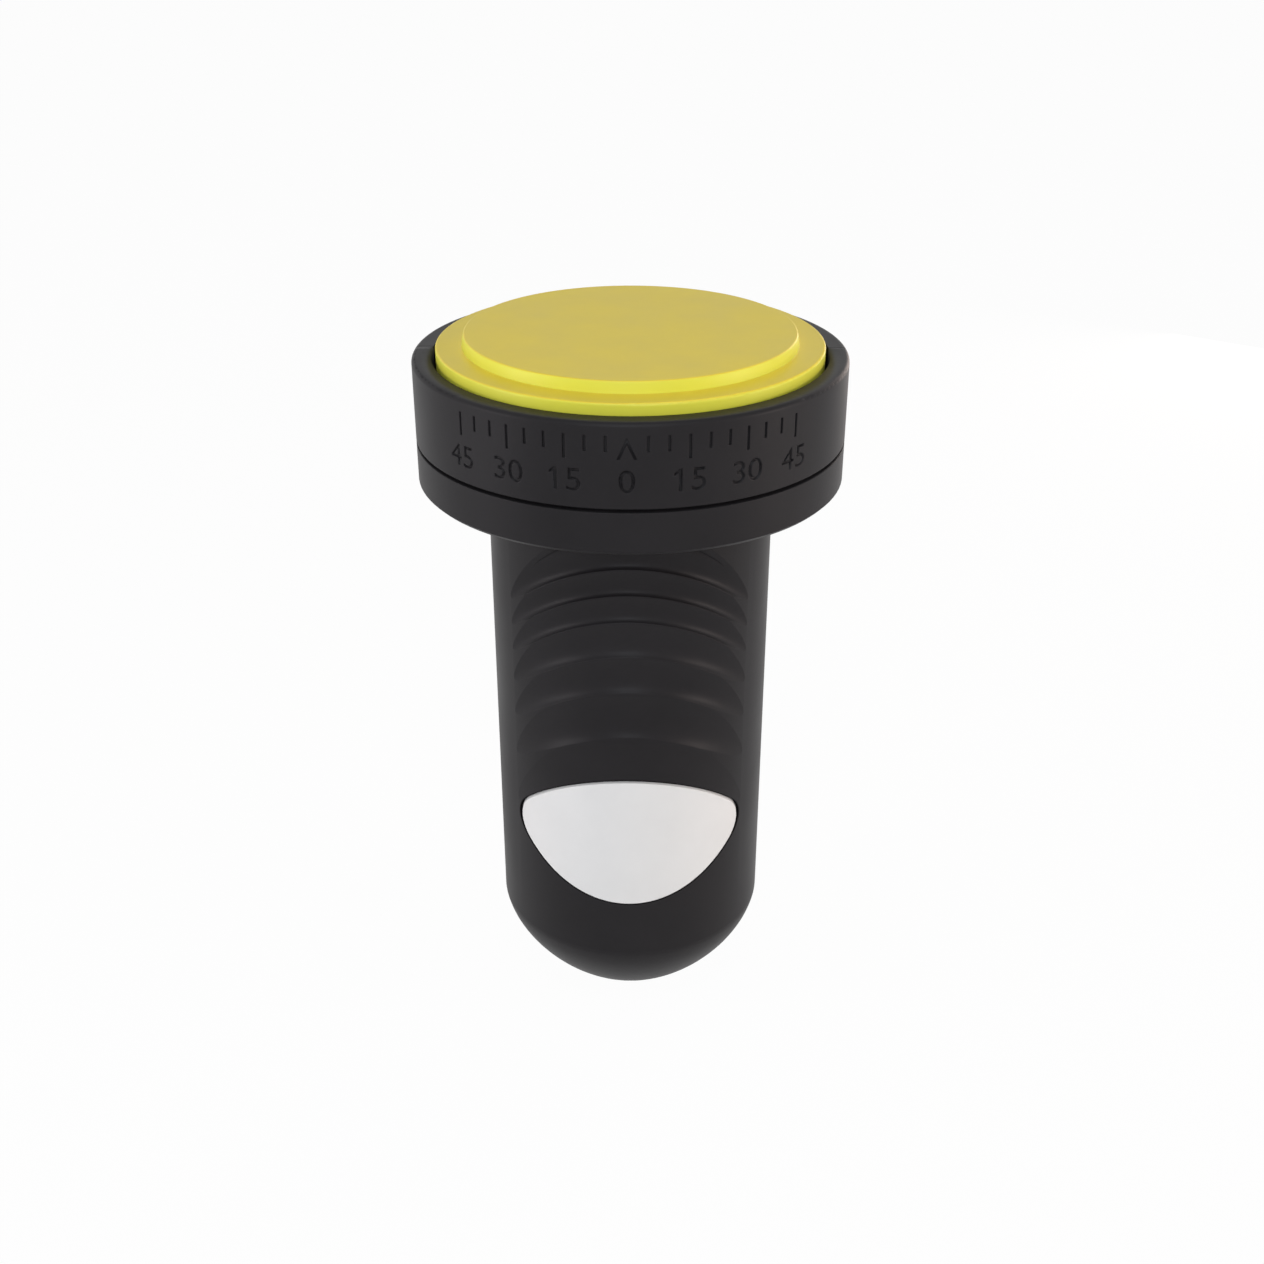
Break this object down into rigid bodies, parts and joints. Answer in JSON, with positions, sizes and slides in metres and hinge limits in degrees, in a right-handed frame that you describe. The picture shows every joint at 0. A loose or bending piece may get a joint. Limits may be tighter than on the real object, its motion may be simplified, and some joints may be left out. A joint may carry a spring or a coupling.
{
  "type": "satellite downconverter",
  "caption": "Inline satellite downconverter with a feed cap, a skew scale ring, a 40 mm neck with a thumb grip and a sliding cover over its cable connector.",
  "frame": {"origin": "on the axis at the underside of the collar, where the dish clamp stops", "axes": "+Z along the feed axis towards the dish, -Y towards the scale's zero and the label"},
  "size_m": [0.059, 0.059, 0.1067],
  "materials": {
    "housing": "fine moulded texture, black",
    "scale_ring": "fine moulded texture, black, engraved scale",
    "cover": "fine moulded texture, black",
    "feed_cap": "satin yellow",
    "label": "satin off-white film",
    "seal": "matt",
    "casting": "as cast",
    "lid": "tinned sheet",
    "screws": "zinc plated",
    "absorber": "matt",
    "board": "solder mask",
    "probe": "bright",
    "insulator": "waxy white",
    "resonator": "sintered",
    "chips": "moulded epoxy",
    "capacitors": "glazed",
    "connector": "nickel plated"
  },
  "bodies": {
    "housing": {"front_shell": "housing", "rear_shell": "housing", "scale_ring_front": "scale_ring", "scale_ring_rear": "scale_ring", "feed_cap": "feed_cap", "cap_seal": "seal", "label_plate": "label", "horn_casting": "casting", "chassis_lid": "lid", "lid_screws": "screws", "tuning_screws": "screws", "collar_screws": "screws", "lid_absorber": "absorber", "rf_board": "board", "probe_vertical": "probe", "probe_horizontal": "probe", "probe_sleeves": "insulator", "isolation_pin": "probe", "dielectric_resonators": "resonator", "input_transistors": "chips", "converter_chip": "chips", "voltage_regulator": "chips", "filter_capacitors": "capacitors", "f_connector_shell": "connector", "f_connector_insulator": "insulator", "f_connector_contact": "probe", "f_connector_seal": "seal"},
    "weather_cover": {"slide_cover": "cover"}
  },
  "joints": [
    {"name": "cover_slide", "type": "slide", "parent": "housing", "child": "weather_cover", "axis": [0, 0, 1], "range_m": [0, 0.018]}
  ]
}
